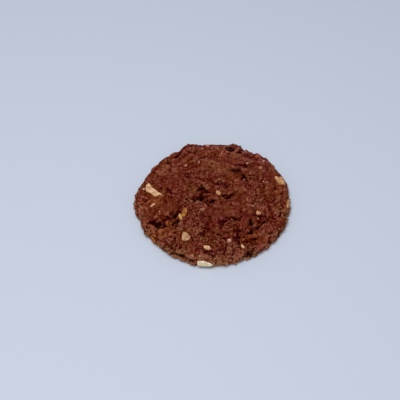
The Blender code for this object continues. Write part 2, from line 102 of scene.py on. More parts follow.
# Pits, cracks and hollows: x, y, height (None on the top), length, width, turn in degrees, depth.
PITS = (
    (-6.4, 0.8, None, 6.2, 4.4, 0, 3.0),
    (-10.4, -0.8, None, 5.6, 1.8, -14, 1.6),
    (-5.8, 3.6, None, 2.2, 5.0, 8, 1.2),
    (-5.8, 7.4, None, 3.2, 4.6, -8, 2.3),
    (-1.6, -3.1, None, 5.6, 3.4, -20, 2.0),
    (8.8, 1.1, None, 9.0, 1.8, 6, 1.8),
    (13.0, 3.4, None, 5.0, 1.2, 20, 0.9),
    (8.2, 9.6, None, 4.0, 2.4, 20, 0.7),
    (-31.5, -18.8, None, 4.1, 4.2, 0, 3.2),
    (-34.6, -17.4, None, 4.2, 1.8, 8, 1.6),
    (-27.4, -19.6, None, 2.3, 3.0, 0, 2.5),
    (-22.0, -11.8, None, 5.4, 4.2, 42, 2.8),
    (-25.8, -15.2, None, 6.4, 3.0, 40, 1.6),
    (-20.8, -18.2, None, 2.6, 5.6, 8, 2.0),
    (14.2, 21.4, None, 7.0, 3.8, -20, 2.1),
    (18.4, 16.6, None, 5.0, 3.0, -50, 1.6),
    (17.2, 25.6, None, 4.4, 2.6, 0, 1.2),
    (21.6, -18.4, None, 3.0, 3.4, 0, 2.3),
    (22.6, -23.2, None, 8.0, 1.7, 36, 1.1),
    (28.0, -18.7, None, 7.0, 1.5, 44, 1.0),
    (14.5, -14.5, None, 4.4, 3.6, -25, 2.0),
    (5.0, -17.0, None, 4.4, 4.4, 10, 1.0),
    (13.9, -24.2, None, 2.6, 8.0, -8, 1.1),
    (29.6, -12.8, None, 12.0, 1.5, -4, 1.1),
    (40.0, -11.0, None, 8.0, 1.8, 8, 1.3),
    (3.6, 11.0, None, 6.0, 2.0, 10, 0.9),
    (8.8, 8.0, None, 2.4, 2.0, 0, 0.9),
    (-1.6, -37.6, None, 5.0, 3.0, 0, 1.0),
    (13.5, -30.8, None, 4.0, 3.0, 30, 0.9),
    (-43.4, -7.6, 4.2, 1.8, 12.0, 4, 1.3),
    (-24.6, 5.2, None, 2.6, 3.0, 0, 1.1),
    (-38.6, -0.9, None, 2.6, 2.0, 0, 0.9),
    (-5.9, 32.6, None, 4.0, 2.4, 15, 0.9),
    (3.0, 31.7, None, 5.6, 1.6, -8, 0.9),
    (19.4, 26.0, None, 3.0, 2.6, 0, 1.1),
    (-15.0, 16.7, None, 3.4, 2.8, 0, 0.7),
    (38.4, 8.6, None, 3.6, 3.6, 60, 1.2),
    (-3.9, -13.6, None, 3.4, 2.6, 0, 0.9),
    (-3.6, -20.4, None, 4.0, 4.6, 0, 0.9),
    (-5.6, -24.6, None, 5.4, 2.2, 20, 1.1),
    (-19.9, 34.8, None, 5.5, 2.0, 40, 1.4),
    (-26.5, 29.5, None, 6.0, 1.8, 55, 1.2),
    (11.5, 39.6, None, 4.8, 3.6, -12, 2.4),
    (24.5, 38.0, None, 4.0, 1.8, 60, 1.2),
    (-0.4, -40.0, None, 3.2, 3.0, 0, 1.5),
    (-19.4, -39.6, 4.4, 9.0, 3.2, -26, 2.2),
    (-12.6, -42.6, 3.4, 5.0, 2.6, -16, 1.6),
    (21.0, -38.9, 4.0, 6.5, 3.4, 28, 2.2),
    (10.2, -43.0, 4.2, 3.4, 2.2, 8, 1.5),
    (26.0, -36.3, 2.4, 4.0, 3.0, 35, 1.9),
    (28.9, -34.0, 3.6, 2.4, 4.4, 40, 1.4),
    (33.1, -29.8, 3.8, 3.0, 4.0, 40, 1.9),
    (38.0, -23.6, 2.6, 4.4, 4.0, 60, 2.1),
    (40.8, -18.4, 3.5, 3.0, 4.4, 60, 1.9),
    (43.2, -12.6, 2.4, 3.0, 3.4, 75, 1.3),
    (-32.2, -28.4, 5.0, 5.5, 2.8, -45, 1.9),
    (-39.6, -21.4, 2.4, 5.6, 2.4, -58, 2.1),
    (-36.4, -25.4, 1.8, 4.0, 3.0, -55, 1.6),
    (-27.6, -33.8, 2.2, 5.0, 2.8, -40, 1.5),
    (-8.0, -44.0, 1.8, 4.0, 2.6, -10, 1.3),
    (38.2, 24.8, 3.0, 6.5, 2.6, -57, 1.8),
    (29.8, 35.4, 2.4, 4.0, 2.8, -40, 1.6),
    (20.4, 40.0, 3.2, 5.0, 2.4, -27, 1.5),
    (4.7, 44.4, 2.6, 7.5, 2.6, -6, 1.9),
    (-6.5, 44.3, 3.2, 3.0, 2.6, 7, 1.3),
    (-16.9, 42.4, 2.4, 4.6, 2.8, 22, 1.8),
    (-25.0, 37.1, 3.0, 6.0, 2.4, 34, 1.6),
    (-31.9, 29.7, 2.2, 4.0, 3.0, 47, 1.7),
    (-37.8, 21.8, 3.0, 8.0, 2.6, 60, 1.9),
    (-42.0, 12.8, 2.4, 3.6, 3.0, 73, 1.4),
    (-45.0, 1.8, 3.0, 5.0, 2.6, 88, 1.6),
    (45.0, 4.6, 2.6, 5.0, 2.6, -84, 1.5),
)

# Lumps that stand up: x, y, length, width, turn, rise, width and depth of the groove round them.
LUMPS = (
    (-8.4, -5.4, 9.5, 6.2, -28, 1.0, 1.0, 0.3),
    (9.4, -36.7, 6.0, 6.4, 0, 0.9, 1.3, 0.7),
    (13.7, 6.8, 5.0, 3.8, 10, 0.5, 1.0, 0.2),
    (-24.6, -31.0, 5.4, 5.4, 0, 0.7, 1.4, 0.9),
    (22.3, -5.1, 5.4, 4.6, 0, 0.7, 1.0, 0.5),
    (-41.4, -7.6, 2.4, 13.0, 4, 0.7, 0.8, 0.2),
    (17.4, -9.6, 3.8, 3.2, 0, 0.5, 1.0, 0.3),
    (-17.7, -36.4, 7.6, 5.0, -30, 0.7, 1.2, 0.3),
    (3.2, -8.6, 7.0, 5.0, 30, 0.4, 1.2, 0.1),
    (-8.8, -3.0, 8.0, 2.4, -22, 0.6, 0.8, 0.2),
    (27.6, -24.4, 6.4, 4.6, 30, 0.6, 1.0, 0.3),
    (-25.0, -19.3, 3.4, 2.8, 0, 1.0, 1.0, 0.2),
    (-31.0, -12.8, 6.5, 4.6, 0, 0.5, 1.0, 0.2),
    (16.6, 38.8, 3.8, 5.6, 0, 1.3, 1.0, 0.5),
    (21.4, 36.4, 5.6, 5.6, 0, 0.7, 1.0, 0.3),
    (27.4, 33.0, 6.0, 5.0, -30, 0.6, 1.0, 0.2),
    (5.6, 39.4, 9.0, 6.0, 0, 0.6, 1.0, 0.2),
    (-12.0, 38.4, 6.0, 5.0, 0, 0.6, 1.2, 0.2),
    (24.5, 11.0, 7.0, 5.6, 0, 0.4, 1.2, 0.1),
    (-20.5, 22.0, 8.0, 7.0, 0, 0.4, 1.4, 0.1),
)

# Where the dough is dark or pale, rusty or plum red: x, y, length, width, turn and how strongly. Dark patches
# are partly baked colour and partly painted shade in and round pits and under the rim; pale ones are partly
# baked colour and partly painted light on lumps and along the front rim; plum ones along the back are a
# painted reflection.
STAINS = {
    "dark": (
        (-5.0, 1.0, 15, 11, -10, 0.55), (-22.6, -14.4, 15, 9, 40, 0.7), (-31.0, -18.6, 13, 7, -10, 0.45),
        (23.0, -18.8, 13, 7, 30, 0.6), (16.2, 18.6, 9, 8, -40, 0.7), (10.4, 1.2, 10, 3.4, 12, 0.6),
        (24.4, -13.4, 10, 5, -10, 0.7), (-1.4, -36.6, 11, 5, 0, 0.55), (-17.0, -6.6, 5, 4, 0, 0.5),
        (13.4, -31.0, 9, 6, 20, 0.6), (32.6, -15.6, 18, 5, 0, 0.4), (3.6, -18.6, 11, 8, 0, 0.5),
        (-14.9, 18.4, 7, 5, 0, 0.55), (-3.2, -24.8, 7, 5, 0, 0.4), (3.0, 10.4, 13, 5, 5, 0.35),
        (13.6, -25.0, 4, 11, -8, 0.5), (-20.4, 35.6, 16, 4, 40, 0.35), (-39.6, 11.9, 5, 4, 0, 0.9),
        (20.1, -32.0, 6, 4, 0, 0.8), (12.8, -12.6, 5, 5, 0, 0.7), (-4.9, -1.8, 6, 4, 0, 0.6),
        (-39.9, -11.2, 4, 5, 0, 0.5), (-21.1, -32.0, 6, 4, -30, 0.6), (-30.0, 6.9, 5, 4, 0, 0.6),
        (12.5, -1.0, 5, 4, 0, 0.6), (36.7, -4.9, 6, 4, 0, 0.5), (-31.7, -15.2, 5, 4, 0, 0.5),
        (-24.6, 0.0, 5, 4, 0, 0.5), (-3.6, 15.9, 6, 4, 0, 0.5), (6.8, -28.8, 6, 5, 0, 0.6),
        (-6.0, -12.0, 6, 4, 0, 0.5), (22.3, 12.9, 6, 4, 0, 0.45), (3.7, -8.4, 5, 4, 0, 0.45),
        (23.8, -32.2, 6, 6, 0, 0.9), (-23.3, -36.3, 5, 3, -35, 0.5), (-14.6, -16.9, 5, 4, 0, 0.5),
        (-3.2, -24.0, 4, 3, 0, 0.6), (-19.5, -27.3, 5, 4, 0, 0.5), (16.8, -26.0, 5, 5, 0, 0.6),
        (-3.7, -5.5, 4, 3, 0, 0.6), (15.4, 18.3, 5, 4, 0, 0.5), (-13.9, -32.8, 5, 4, 0, 0.5),
        (24.6, -26.5, 5, 4, 0, 0.4), (40.9, -18.3, 3, 4, -20, 1.2), (38.1, -23.4, 3, 4, -30, 1.2),
        (30.9, -18.0, 6, 3, 0, 0.5), (36.8, 18.1, 5, 4, 0, 0.4), (-25.4, -17.3, 4, 2.4, 0, 0.8),
        (42.6, -13.8, 3, 3.4, -15, 0.8), (33.0, -29.6, 3, 3.4, -45, 0.9), (25.6, -36.4, 3, 3, 0, 0.7),
        (20.4, -39.0, 5, 3, 30, 0.8), (-39.2, -21.4, 4, 3.4, -58, 0.9), (-36.6, -25.6, 3, 3, 0, 0.7),
    ),
    "pale": (
        (-34.0, -23.6, 10, 5, -45, 0.6), (23.3, -4.8, 7, 6, 0, 0.65), (-41.2, -8.0, 3.5, 15, 4, 0.8),
        (9.8, 34.6, 10, 6, 0, 0.6), (10.5, -40.9, 20, 4, 5, 0.9), (29.7, -31.9, 16, 5, 45, 0.5),
        (-28.4, -28.0, 12, 5, -40, 0.45), (21.6, 7.8, 8, 5, 0, 0.6), (36.4, -21.6, 5, 14, -30, 0.9),
        (-2.6, 32.8, 7, 4, 0, 0.4), (-0.4, 27.0, 12, 7, 0, 0.3), (33.0, -6.4, 16, 8, 0, 0.35),
        (-10.8, -23.0, 8, 5, 0, 0.85), (-26.4, 21.6, 9, 6, 30, 0.3), (-14.4, -38.2, 13, 4, -15, 0.5),
        (-9.0, -3.4, 9, 4, -20, 0.6), (24.8, -36.4, 6, 4, 30, 1.0), (4.1, 19.8, 6, 5, 0, 0.6),
        (-6.1, -41.4, 6, 4, 0, 0.7), (-29.2, -21.6, 5, 4, 0, 1.0), (1.6, 38.6, 6, 5, 0, 0.7),
        (-16.6, -39.2, 6, 4, -15, 0.5), (18.8, 32.3, 6, 5, 0, 0.5), (-29.2, 17.8, 6, 5, 0, 0.5),
        (9.9, 39.8, 5, 4, 0, 0.5), (-25.3, 31.6, 7, 4, 40, 0.5), (-15.1, 35.6, 5, 4, 0, 0.45),
        (42.2, -10.0, 4, 6, 0, 0.5), (-22.6, 25.8, 5, 4, 0, 0.4), (9.4, -36.8, 5, 4, 0, 0.4),
        (29.1, -32.9, 5, 4, 0, 0.6), (9.0, -44.8, 14, 3, 8, 0.7), (31.6, 29.2, 9, 5, -42, 0.6),
        (1.8, 26.3, 5, 4, 0, 0.45), (30.6, -31.2, 4, 4, 0, 0.7), (13.8, -41.8, 6, 3, 20, 0.6),
        (27.4, 20.2, 6, 5, 0, 0.4), (12.2, 10.4, 5, 4, 0, 0.4), (9.5, 22.3, 5, 4, 0, 0.4),
        (-12.0, -3.6, 5, 3, 0, 0.5), (-36.0, -21.4, 4, 4, 0, 0.5), (1.5, -4.7, 5, 3, 0, 0.5),
    ),
    "rust": (
        (-24.7, -19.4, 3.4, 2.8, 0, 0.9), (-28.0, -23.6, 14, 7, -20, 0.45), (25.9, 33.4, 4.6, 4.0, 0, 1.4),
        (4.6, 34.8, 12, 5, 0, 0.7), (13.6, 14.0, 9, 6, 0, 0.5), (21.0, -28.4, 13, 6, 15, 0.45),
        (-34.0, -2.0, 16, 16, 0, 0.5), (38.0, 7.6, 8, 6, 60, 0.6), (-33.4, -27.0, 4, 4, 0, 1.2),
        (29.2, -29.5, 6, 5, 0, 0.5),
    ),
    # Plum red at the front; along the back rim and at the back right, a painted pinkish reflection.
    "plum_and_painted_reflection": (
        (5.0, -17.0, 9, 7, 0, 0.7), (1.0, -11.6, 9, 6, 0, 0.5), (-1.6, -37.5, 7, 4, 0, 0.6),
        (5.4, 9.4, 8, 4, 0, 0.9), (24.2, -13.2, 8, 4, 0, 0.8), (0.0, 39.6, 70, 6, 0, 0.45),
        (22.6, 35.0, 8, 7, -30, 0.7), (13.5, -30.8, 6, 5, 0, 0.6), (24.0, 26.0, 30, 16, -30, 0.3),
        (31.8, 29.4, 10, 6, -42, 0.6), (-4.6, -15.6, 5, 5, 0, 0.5),
    ),
}

# Tears too fine for the solid: size, how far they stand up, how far their edges wander, and where in the
# noise they start. Grit is finer still.
FINE_TEARS = (
    (2.3, 0.50, 2.0, np.array((5.3, 1.9, 8.8))),
    (1.2, 0.40, 1.0, np.array((2.2, 9.4, 6.1))),
)
GRIT_SIZE, GRIT_RISE = 0.66, 0.13

# Crumbs baked on side by side: size, how far they stand up, and how wide the slope to a gap is, in crumbs;
# then how much each is domed, their mean height, and how far their edges wander.
CRUMBLY_SIZE, CRUMBLY_RISE, CRUMBLY_GAP = 1.8, 0.42, 0.3
CRUMBLY_DOME, CRUMBLY_MEAN, CRUMBLY_WANDER = 0.6, 0.5, 0.8

# Where the dough is rough and where it is crumbly: size of a patch, where in the noise it starts, mean, how
# much patches differ, how much more of it the side has, and once more where the side is upright, how much
# less for each millimetre to the back, and the least and the most.
ROUGH_PATCHES = (12.0, 0, 0.75, 1.1, 0.3, 0.4, 0.01, (0.35, 1.4))
CRUMBLY_PATCHES = (7.2, 40, 0.2, 2.5, 1.0, 0.5, 0.0125, (0.0, 1.5))

# Where the side is paler: size of a patch, mean, and how much patches differ.
SIDE_PATCH_SIZE, SIDE_MEAN, SIDE_DIFFERS = 5.0, 0.8, 1.1

# How far the surface is averaged, in cells of its mesh, to find its fine hollows, its crests and its broad
# hollows, where shade is painted into the hollows and light onto the crests, and how dark the painted shade
# of a small hole is against a pit as deep.
FINE_REACH, CREST_REACH, BROAD_REACH = 2, 1, 8
HOLE_DARKNESS = 0.7

# The clearer holes where bubbles broke: x, y, length, width, turn and depth.
CLEAR_HOLES = (
    (-30.2, 7.4, 2.6, 1.6, 30, 1.4), (-6.8, 8.3, 2.0, 2.6, 0, 1.5), (-4.6, -24.2, 3.2, 1.6, 15, 1.0),
    (-14.9, 18.3, 3.4, 1.8, 0, 1.2), (22.6, 17.6, 2.2, 1.6, 0, 1.0), (23.6, -29.3, 3.4, 2.0, 20, 1.6),
    (-24.6, 0.2, 2.0, 1.6, 0, 1.0), (-23.3, -34.8, 3.2, 1.4, -35, 1.4), (6.2, -28.9, 2.4, 1.6, 0, 1.1),
    (3.0, -26.2, 2.4, 1.5, 20, 0.9), (-21.8, -25.2, 2.2, 1.5, -20, 1.0), (-31.8, -15.1, 2.6, 1.4, 10, 0.9),
    (22.6, -23.2, 9.4, 1.1, 36, 1.6), (28.1, -18.7, 7.0, 1.0, 44, 1.5), (22.0, -24.2, 2.6, 2.0, 20, 1.2),
    (26.1, -20.6, 2.2, 1.9, 0, 1.2), (-10.4, -0.8, 5.6, 1.1, -14, 1.4), (9.4, 1.3, 7.0, 1.1, 4, 1.2),
    (21.6, -18.5, 2.2, 2.6, 0, 0.9), (-31.4, -18.9, 3.2, 3.2, 0, 0.9), (-7.0, 0.2, 4.4, 3.2, 0, 0.8),
    (33.4, -24.6, 4.6, 1.2, 20, 1.1), (16.0, 35.8, 5.0, 1.2, 10, 1.2), (10.7, -4.9, 1.8, 1.8, 0, 1.1),
    (-14.8, 16.8, 3.0, 2.4, 0, 1.0),
)

# Other holes: how many, and the least and the greatest length, width as a share of it, and depth. Each is
# turned this many times as far as it lies round the cookie.
HOLES, HOLE_LENGTH, HOLE_WIDTH, HOLE_DEPTH = 260, (0.7, 2.0), (0.4, 1.0), (0.3, 1.1)
HOLE_TURNS = 7

# Size of the wander of the edges of all small holes, which reaches a third as far.
HOLE_WANDER = 1.1

# Loose crumbs: how many, the least and the greatest size, and how far into a nut's bed one may lie; how level
# the dough is where none is left out, and the size from which one has a finer mesh.
CRUMBS, CRUMB_SPAN, CRUMB_CLEARANCE = 1000, (0.5, 1.5), 0.4
CRUMB_LEVEL, CRUMB_FINE = 0.9, 1.1

# How far a crumb's middle stands above the dough, as a share of its size, and how much deeper it sinks on the
# side at the back, where the rim's outline is smooth, in full from this far back.
CRUMB_STAND = (-0.2, 0.15)
BACK_SINK, BACK_REACH = 0.5, 20

# A crumb or a speck is a ball knocked out of round: how far, by how many waves, how much it is stretched, and
# how far off in the noise its waves may start.
BALL_KNOCK, BALL_WAVES, BALL_STRETCH, BALL_STARTS = 0.7, 1.6, (0.7, 1.3), (-50, 50)

# Nuts with a shape of their own: kind, x, y, height (None on the top), rise, thickness, turn and lean in
# degrees, and corners round the middle.
SLICED_NUTS = (
    ("cream", -35.5, 6.2, None, 0.8, 3.4, 0, 4,
     ((-3.3, 3.7), (-2.1, 5.0), (-1.1, 4.4), (0.2, 1.7), (2.5, -0.5), (4.8, -2.7), (6.9, -4.8), (4.6, -4.0),
      (3.5, -4.8), (2.1, -5.0), (0.8, -4.0), (-0.9, -2.1), (-3.1, -0.9), (-3.5, 1.2))),
    ("biscuit", -15.2, -28.1, None, 0.7, 3.4, 0, 0,
     ((-1.3, 3.4), (0.9, 2.3), (2.8, -0.1), (1.8, -2.0), (-0.4, -2.8), (-2.0, -2.1), (-2.1, 0.5))),
    ("cream", -3.1, -35.5, None, 0.7, 2.8, 0, 6,
     ((-2.1, 1.3), (1.0, 1.1), (2.1, -0.8), (0.5, -1.4), (-1.8, -0.3))),
    ("amber", -16.0, -11.0, None, 0.9, 3.0, 0, 0,
     ((-0.3, 3.1), (0.8, 3.1), (1.5, 2.0), (1.5, 0.1), (1.0, -1.6), (0.0, -2.9), (-0.9, -3.1), (-1.4, -2.2),
      (-1.5, -0.3), (-1.0, 1.8))),
    ("straw", -18.3, -14.1, None, 0.7, 2.4, 0, 0,
     ((-0.9, 2.1), (0.3, 1.6), (0.9, -0.4), (1.1, -1.9), (0.3, -2.3), (-0.7, -0.9), (-1.2, 0.7))),
    ("ivory", -4.6, -44.3, 3.6, 0.5, 3.4, 0, 60,
     ((-3.9, 1.6), (-0.2, 1.5), (3.0, 0.4), (4.3, -0.9), (3.0, -1.6), (-0.6, -1.4), (-3.9, -0.9))),
    ("tan", 40.2, 13.8, None, 0.9, 3.6, 0, 16,
     ((-3.4, 1.9), (-2.0, 2.3), (-0.9, 1.2), (0.0, 2.4), (1.3, 2.2), (2.2, 0.1), (2.5, -3.2), (0.1, -3.8),
      (-1.0, -3.0), (-1.8, -1.5), (-2.7, 0.2))),
    ("peach", 26.3, -11.3, None, 0.8, 2.8, 0, 0,
     ((-1.4, -0.8), (-1.2, 0.5), (-0.7, 1.6), (0.2, 0.8), (1.5, 0.6), (1.5, -0.4), (0.4, -1.2))),
    ("peach", 3.4, 3.1, None, 1.0, 2.8, 0, 0,
     ((-1.3, 0.2), (-0.7, 1.6), (0.7, 1.4), (1.5, -0.2), (1.0, -1.5), (-0.4, -1.3))),
    ("rose", 9.1, -30.9, None, 0.7, 2.4, 0, 0,
     ((-0.9, 0.9), (0.6, 1.4), (1.3, 0.8), (1.0, -0.5), (-0.3, -1.2), (-1.2, -1.0))),
    ("cream", 16.6, -34.6, None, 0.9, 2.4, 0, 4,
     ((-0.9, 1.1), (0.0, 0.9), (0.8, -0.2), (0.9, -1.0), (-0.3, -1.2), (-0.8, 0.0))),
    ("toasted", -6.1, -9.0, None, 0.6, 2.4, 0, 0,
     ((-1.8, 0.1), (-0.6, 0.9), (1.2, 1.3), (1.9, 0.5), (1.2, -0.9), (-1.1, -1.0))),
)

# Grain of their mesh, how much they swell, and rise and size of each unevenness of their faces.
NUT_VOXEL, NUT_SWELL = 0.22, 0.15
NUT_WAVES = ((0.14, 2.2), (0.06, 0.7))

# Smaller chopped nuts: kind, x, y, height (None on the top), rise, length, width, thickness, turn and lean.
SMALL_NUTS = (
    ("peach", -34.6, -4.8, None, 0.4, 4.2, 1.7, 1.8, 42, 4),
    ("rose", -40.4, 7.4, None, 0.5, 2.2, 1.6, 1.4, 10, 10),
    ("tan", 43.7, -3.2, 4.8, 1.2, 7.2, 3.2, 3.0, 88, 42),
    ("toasted", 29.3, 23.6, None, 0.8, 3.8, 3.0, 2.6, 15, 0),
    ("toasted", -16.1, 25.6, None, 0.6, 3.6, 2.9, 2.2, 70, 0),
    ("rose", -2.2, 42.2, None, 0.8, 3.2, 2.4, 2.4, 0, 22),
)

# Each is a ball cut flat: how many times and how far from its middle, and rise and size of its unevenness.
NUT_CUTS, NUT_CUT_REACH = 9, (0.55, 0.85)
SMALL_NUT_RISE, SMALL_NUT_WAVE = 0.1, 0.8

# Specks of ground nut: kind, x, y and size. Each sits on the dough nearest to its place, or on higher dough
# about as near: this much height is worth a millimetre aside.
SPECKS = (
    ("rose", 21.0, 26.7, 1.5), ("rose", -8.0, 27.2, 1.3), ("rose", -5.7, 38.9, 1.5),
    ("rose", 30.4, 12.6, 1.3), ("rose", 30.9, 28.6, 1.3), ("toasted", 23.4, -5.6, 2.2),
    ("tan", -7.4, -41.3, 1.9), ("toasted", 10.1, -36.0, 1.5), ("toasted", 11.0, 11.2, 1.3),
    ("toasted", -23.4, 25.8, 1.3), ("tan", 7.6, -43.6, 2.1), ("rose", 18.8, 13.9, 1.3),
    ("toasted", 42.3, 6.5, 1.5), ("tan", -11.4, -41.0, 1.5), ("peach", -6.8, -29.9, 1.1),
    ("toasted", 20.1, -1.2, 1.5), ("toasted", 27.9, -1.1, 1.5), ("toasted", -30.3, -10.2, 2.0),
    ("toasted", 37.5, -15.2, 1.5), ("toasted", 12.6, -44.0, 1.2), ("toasted", 25.9, -14.6, 1.5),
    ("toasted", -1.2, -40.9, 1.2), ("toasted", 37.6, -21.4, 1.3),
)
SPECK_CLIMB = 50

# Others are strewn by chance: how many, their kinds, and the least and the greatest size.
STREWN_SPECKS, STREWN_KINDS, STREWN_SPAN = 30, ("rose", "toasted", "tan", "toasted"), (0.4, 0.8)

# A nut gets painted shade down its flanks: how fast, from how level a face, and the most.
FLANK_SHADE_RATE, FLANK_STARTS, FLANK_MOST = 1.3, 0.85, 0.8

# What the photograph's camera aimed at, from how far away in metres, and how many degrees it looked down.
# Its lens and sensor are in millimetres.
CAMERA_AIM = Vector((-7.1814, -0.3197, 5.1846)) * MM
CAMERA_AWAY, CAMERA_DOWN = 0.5, 51
LENS, SENSOR = 77.33, 36

# The lamp's place and width in metres and its watts, how bright the room is, and the floor's width in metres.
LAMP_PLACE, LAMP_WIDTH, LAMP_POWER = (-0.14, -0.2, 0.92), 0.8, 5.8
ROOM_BRIGHTNESS = 0.38
FLOOR_WIDTH = 3


def rim_radius(angle):
    """Radius of the rim at an angle in radians: a circle with the bulges and dips of hand-pressed dough."""
    radius = np.full(np.shape(angle), RIM_RADIUS)
    for middle, half_width, rise in RIM_LOBES:
        apart = (np.degrees(angle) - middle + 180) % 360 - 180
        radius = radius + rise * np.exp(-((apart / half_width) ** 2))
    return radius


def smooth_slab(ring, angle):
    """Places and outward directions on the smooth slab: over the top and the shoulder, down to the foot."""
    share = np.clip(ring / TOP_RINGS, 0, 1)
    turn = np.pi / 2 * (1 - np.clip((ring - TOP_RINGS) / SHOULDER_RINGS, 0, 1))
    down = np.clip((ring - TOP_RINGS - SHOULDER_RINGS) / FOOT_RINGS, 0, 1)
    radius = (rim_radius(angle) - SHOULDER_WIDTH) * share + SHOULDER_WIDTH * np.cos(turn)
    radius = radius - FOOT_INSET * down**2
    height = (SHOULDER_HEIGHT - BELLY_HEIGHT) * np.sin(turn) + BELLY_HEIGHT * (1 - down)
    height = height + (CROWN_HEIGHT - SHOULDER_HEIGHT) * (1 - share**2)
    places = np.stack([radius * np.cos(angle), radius * np.sin(angle), height], -1)
    outward = np.stack([np.cos(angle) * np.cos(turn), np.sin(angle) * np.cos(turn), np.sin(turn)], -1)
    return places, outward


def slab_height(x, y):
    """Height of the smooth slab over a place."""
    shoulder = float(rim_radius(math.atan2(y, x))) - SHOULDER_WIDTH
    share = math.hypot(x, y) / shoulder
    if share < 1:
        return SHOULDER_HEIGHT + (CROWN_HEIGHT - SHOULDER_HEIGHT) * (1 - share**2)
    over = min(1, (math.hypot(x, y) - shoulder) / SHOULDER_WIDTH)
    return BELLY_HEIGHT + (SHOULDER_HEIGHT - BELLY_HEIGHT) * math.sqrt(1 - over**2)


def noise_at(places, size):
    return np.array([noise.noise(Vector(place)) for place in (places / size).tolist()])


def wander_at(places, size):
    return np.array([noise.noise_vector(Vector(place)) for place in (places / size).tolist()])


def ragged(places):
    """The same places, shifted about a little, which makes the edge of what is drawn there ragged."""
    for size, reach in RAGGED:
        places = places + wander_at(places, size) * reach
    return places


def away_from(places, x, y, height, length, width, turn):
    """Distance from the middle of an oval, as a share of the way to its edge."""
    cosine, sine = math.cos(math.radians(turn)), math.sin(math.radians(turn))
    away_x, away_y = places[:, 0] - x, places[:, 1] - y
    along = (away_x * cosine + away_y * sine) / (length / 2)
    across = (away_y * cosine - away_x * sine) / (width / 2)
    drop = 0 if height is None else (places[:, 2] - height) / (min(length, width) / 2)
    return np.sqrt(along**2 + across**2 + drop**2)


def tears(places, size, offset):
    """Dough that tore as it spread: rounded backs with creases between, sharp here and soft there."""
    soft = np.clip(SOFT_MEAN + SOFT_DIFFERS * noise_at(places - offset, size * TEAR_PATCH), 0, 1)
    field = np.hypot(noise_at(places + offset * size, size), TEAR_SHARP + TEAR_SOFT * soft)
    return np.sqrt(field) - TEAR_MEAN


def pit_depth(places):
    """How deep the pits and cracks cut."""
    depth = np.zeros(len(places))
    for x, y, height, length, width, turn, full in PITS:
        away = away_from(places, x, y, height, length, width, turn)
        depth = np.maximum(depth, full * np.exp(-(away**PIT_STEEPNESS)))
    return depth


def lump_rise(places):
    """How far the lumps stand up, less the groove round each."""
    rise = np.zeros(len(places))
    for x, y, length, width, turn, full, groove_width, groove in LUMPS:
        away = away_from(places, x, y, None, length, width, turn)
        edge = (away - 1) * (length + width) / 2 / groove_width
        rise += full * np.maximum(0, 1 - away**LUMP_FLATNESS) - groove * np.exp(-(edge**2))
    return rise


def stained(places, kind):
    """How strongly the dough is stained this way, patch by patch: partly its own colour, and partly painted
    shade, painted light and a painted reflection, by kind.
    """
    stain = np.zeros(len(places))
    for x, y, length, width, turn, strength in STAINS[kind]:
        stain += strength * np.exp(-(away_from(places, x, y, None, length, width, turn) ** 2))
    return stain


def nut_beds(places):
    """1 where a nut lies and 0 away from nuts."""
    ovals = []
    for _, x, y, height, _, _, turn, _, corners in SLICED_NUTS:
        length, width = np.ptp(np.array(corners), axis=0)
        ovals.append((x, y, height, length + BED_MARGIN, width + BED_MARGIN, turn))
    for _, x, y, height, _, length, width, _, turn, _ in SMALL_NUTS:
        ovals.append((x, y, height, length + BED_MARGIN, width + BED_MARGIN, turn))
    bed = np.zeros(len(places))
    for oval in ovals:
        bed = np.maximum(bed, np.exp(-(away_from(places, *oval) ** BED_STEEPNESS)))
    return bed


def main_relief(places, outward):
    """The crags that the solid part has too."""
    crags = SWELL_RISE * noise_at(places, SWELL_SIZE)
    crags += CLUMP_RISE * tears(places, CLUMP_SIZE, CLUMP_PLACE)
    crags += CRUMB_RISE * tears(places, CRUMB_SIZE, CRUMB_PLACE)
    side = 1 - outward[:, 2]
    crags += side * SIDE_CRUMB_RISE * tears(places, SIDE_CRUMB_SIZE, SIDE_CRUMB_PLACE)
    shifted = ragged(places)
    return crags + lump_rise(shifted) - pit_depth(shifted)


def strewn_holes():
    """Small holes that lie about by chance: x, y, length, width, turn and depth."""
    chance = random.Random(5)
    for _ in range(HOLES):
        radius, turn = RIM_RADIUS * math.sqrt(chance.random()), chance.uniform(0, 360)
        x, y = radius * math.cos(math.radians(turn)), radius * math.sin(math.radians(turn))
        length = chance.uniform(*HOLE_LENGTH)
        width, full = length * chance.uniform(*HOLE_WIDTH), chance.uniform(*HOLE_DEPTH)
        yield x, y, length, width, turn * HOLE_TURNS, full


def hole_depth(places):
    """How deep the small holes cut."""
    places = places + wander_at(places, HOLE_WANDER) * HOLE_WANDER / 3
    depth = np.zeros(len(places))
    for x, y, length, width, turn, full in (*strewn_holes(), *CLEAR_HOLES):
        away = away_from(places, x, y, None, length, width, turn)
        depth = np.maximum(depth, full * np.exp(-(away**PIT_STEEPNESS)))
    return depth


def crumbly(places):
    """Crumbs baked on side by side: high on each crumb, low between them."""
    wandered = places + wander_at(places, CRUMBLY_SIZE) * CRUMBLY_WANDER
    found = [noise.voronoi(Vector(place))[0][:2] for place in (wandered / CRUMBLY_SIZE).tolist()]
    nearest, second = np.array(found).T
    return np.minimum(1, (second - nearest) / CRUMBLY_GAP) * (1 - CRUMBLY_DOME * nearest) - CRUMBLY_MEAN


def patchy(places, outward, size, offset, mean, differ, side_more, upright_more, back_less, span):
    """How strong a roughness is: in patches, more at the front than the back, and most all round the side."""
    side = 1 - outward[:, 2]
    strength = mean + differ * noise_at(places + offset, size) + side_more * side + upright_more * side**2
    return np.clip(strength - back_less * places[:, 1] * (1 - side**2), *span)


def fine_relief(places, outward, rough):
    """Tears, crumbs and grit, as high as the dough is rough."""
    relief = np.zeros(len(places))
    for size, rise, wander, offset in FINE_TEARS:
        relief += rise * tears(places + wander_at(places, size) * wander, size, offset)
    relief += GRIT_RISE * noise_at(places, GRIT_SIZE)
    relief += CRUMBLY_RISE * patchy(places, outward, *CRUMBLY_PATCHES) * crumbly(places)
    return relief * rough


